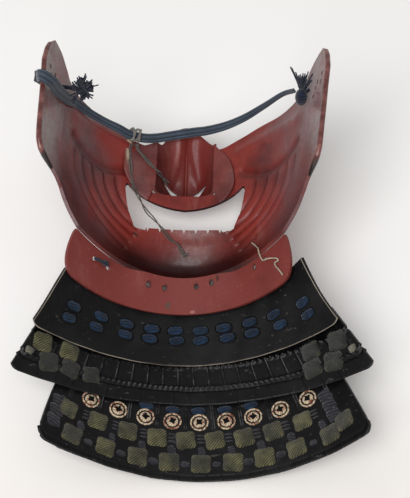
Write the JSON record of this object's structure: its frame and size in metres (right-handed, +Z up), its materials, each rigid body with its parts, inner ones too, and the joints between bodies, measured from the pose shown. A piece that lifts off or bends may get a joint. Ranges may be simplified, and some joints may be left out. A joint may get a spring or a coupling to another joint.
{
  "type": "samurai face guard with throat guard",
  "caption": "Lacquered half mask for the lower face with a nose piece, ear plates and a laced throat guard of curved plates, with its tying cord.",
  "frame": {"origin": "middle of the object's footprint, on the surface it lies on, its loose cords left out", "axes": "+Y from the throat guard's lower edge towards the brow and the nose, +Z up into the hollow where the face goes, +X towards the ear plate on the wearer's right"},
  "size_m": [0.2047, 0.2454, 0.1126],
  "materials": {
    "mask_lacquer": "gloss, deep red lacquer over iron, worn darker at the edges",
    "nose_lacquer": "gloss, slightly brighter red lacquer",
    "black_leather": "matte black leather with a pale worn edge",
    "black_lacquer": "lacquered leather scales, satin black",
    "navy_silk": "matte braided silk",
    "slate_cord": "matte ribbed cotton or silk band",
    "olive_silk": "matte woven braid, faded olive with dark squares between",
    "cream_braid": "matte braid, cream with rust segments",
    "grey_thong": "matte twisted cord, grey-brown",
    "pale_twine": "matte thin twine"
  },
  "bodies": {
    "root": {"mask_shell": "mask_lacquer", "nose_piece": "nose_lacquer", "chin_flange": "mask_lacquer", "lame_1": "black_leather", "lame_2": "black_lacquer", "lame_3": "black_lacquer", "lacing_1": "navy_silk", "lacing_2": "navy_silk", "lacing_3": "navy_silk", "lacing_4": "navy_silk", "lacing_5": "navy_silk", "lacing_6": "navy_silk", "lacing_7": "navy_silk", "lacing_8": "navy_silk", "lacing_9": "navy_silk", "lacing_10": "navy_silk", "rosette_1": "cream_braid", "rosette_2": "cream_braid", "rosette_3": "cream_braid", "rosette_4": "cream_braid", "rosette_5": "cream_braid", "rosette_6": "cream_braid", "rosette_7": "cream_braid", "rosette_8": "cream_braid", "rosette_9": "cream_braid", "silk_loop_3": "navy_silk", "silk_loop_4": "navy_silk", "silk_loop_5": "navy_silk", "silk_loop_6": "navy_silk", "silk_loop_7": "navy_silk", "woven_panel": "olive_silk", "woven_end_left": "olive_silk", "woven_end_right": "olive_silk", "head_cord": "slate_cord", "left_tassel": "navy_silk", "right_knot": "navy_silk", "thong_knot": "grey_thong", "thong_long": "grey_thong", "thong_short": "grey_thong", "twine": "pale_twine", "flange_lace": "navy_silk"}
  },
  "joints": []
}
